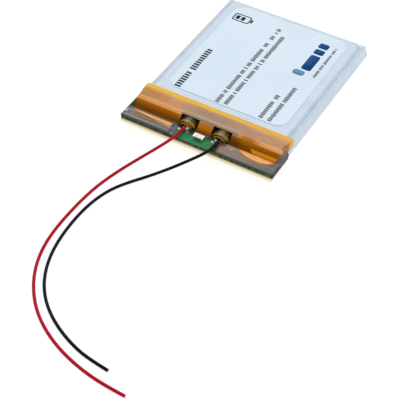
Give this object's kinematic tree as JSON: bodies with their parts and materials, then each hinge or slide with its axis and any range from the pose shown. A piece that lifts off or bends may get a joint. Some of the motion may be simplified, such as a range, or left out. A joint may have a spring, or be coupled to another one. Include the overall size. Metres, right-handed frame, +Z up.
{
  "type": "lithium polymer battery pack",
  "caption": "Flat rectangular pouch cell with a taped protection board across one end and a red and a black lead with bare cut ends.",
  "frame": {"origin": "under the middle of the pack without its leads, on the surface that it lies on", "axes": "+Y along the cell from the lead end to the far end, +X across it to the right seen from the lead end, +Z up through the printed face"},
  "size_m": [0.0384, 0.104, 0.0045],
  "materials": {
    "pouch_foil": "satin nylon-faced aluminium laminate",
    "label_film": "white printed film",
    "anode": "graphite-coated foil",
    "cathode": "oxide-coated foil",
    "separator": "white microporous film",
    "aluminium_tab": "bare",
    "nickel": "bare nickel",
    "seal_film": "clear polypropylene",
    "foam": "closed-cell foam",
    "insulating_paper": "grey-brown fibre paper",
    "board_mask": "green solder mask on glass fibre",
    "copper": "tinned copper",
    "chip_ceramic": "sintered ceramic",
    "chip_body": "moulded epoxy",
    "tinned": "bright tin",
    "polyimide_tape": "clear amber film",
    "red_insulation": "satin",
    "black_insulation": "satin"
  },
  "bodies": {
    "root": {"pouch_cup": "pouch_foil", "pouch_base_sheet": "pouch_foil", "side_seam_left": "pouch_foil", "side_seam_right": "pouch_foil", "label": "label_film", "anode_strip": "anode", "cathode_strip": "cathode", "inner_separator": "separator", "outer_separator": "separator", "positive_tab": "aluminium_tab", "negative_tab": "nickel", "positive_tab_seal": "seal_film", "negative_tab_seal": "seal_film", "positive_nickel_strip": "nickel", "negative_nickel_strip": "nickel", "terrace_foam": "foam", "circuit_board": "board_mask", "lead_pads": "copper", "chip_fuse": "chip_ceramic", "chip_fuse_caps": "tinned", "chip_resistors": "chip_ceramic", "chip_capacitors": "chip_ceramic", "protection_ic": "chip_body", "protection_ic_legs": "tinned", "twin_mosfet": "chip_body", "twin_mosfet_legs": "tinned", "bridge_paper": "insulating_paper", "cover_foam": "foam", "upper_tape": "polyimide_tape", "lower_tape": "polyimide_tape", "red_lead": "red_insulation", "red_lead_strands": "tinned", "red_solder": "tinned", "red_lead_sleeve": "polyimide_tape", "black_lead": "black_insulation", "black_lead_strands": "tinned", "black_solder": "tinned", "black_lead_sleeve": "polyimide_tape"}
  },
  "joints": []
}
